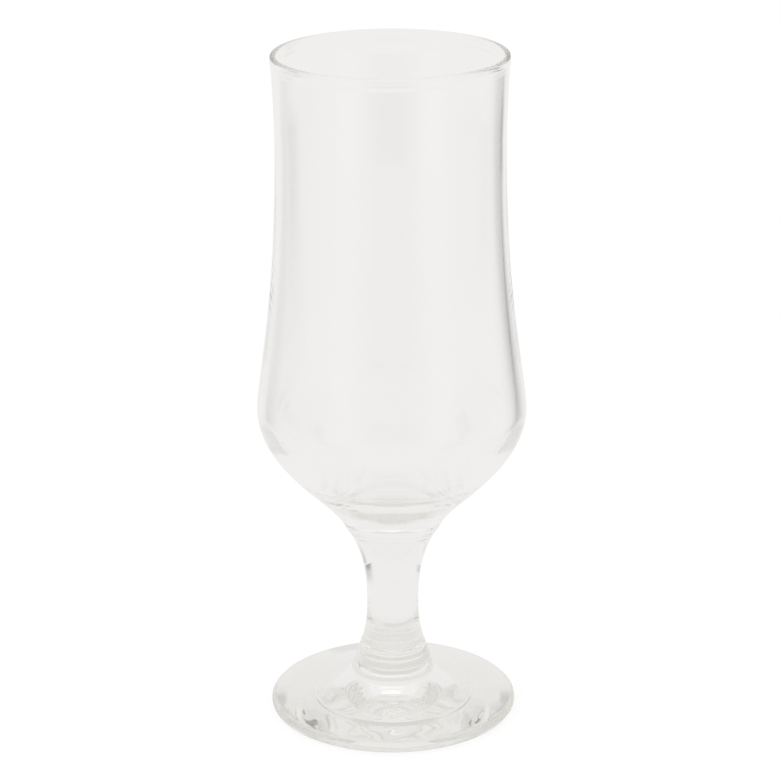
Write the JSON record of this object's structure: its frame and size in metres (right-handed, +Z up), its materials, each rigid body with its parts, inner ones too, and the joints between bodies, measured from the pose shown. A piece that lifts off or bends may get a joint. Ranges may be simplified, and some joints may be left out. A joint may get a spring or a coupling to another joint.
{
  "type": "beer glass",
  "caption": "Clear stemmed beer glass: tulip bowl with a low belly, slight waist and flared mouth, short solid stem and round foot; holds a drink and stands free.",
  "frame": {"origin": "middle of the foot's underside, on the plane that the glass stands on", "axes": "+Z up along the axis of revolution, from the foot to the mouth; X and Y are free, as the glass is round"},
  "size_m": [0.076, 0.076, 0.193],
  "materials": {
    "clear_glass": "fire-polished clear soda-lime glass, smooth and colourless with a faint warm grey-green in its thick parts"
  },
  "bodies": {
    "root": {"bowl": "clear_glass", "stem": "clear_glass", "foot": "clear_glass"}
  },
  "joints": []
}
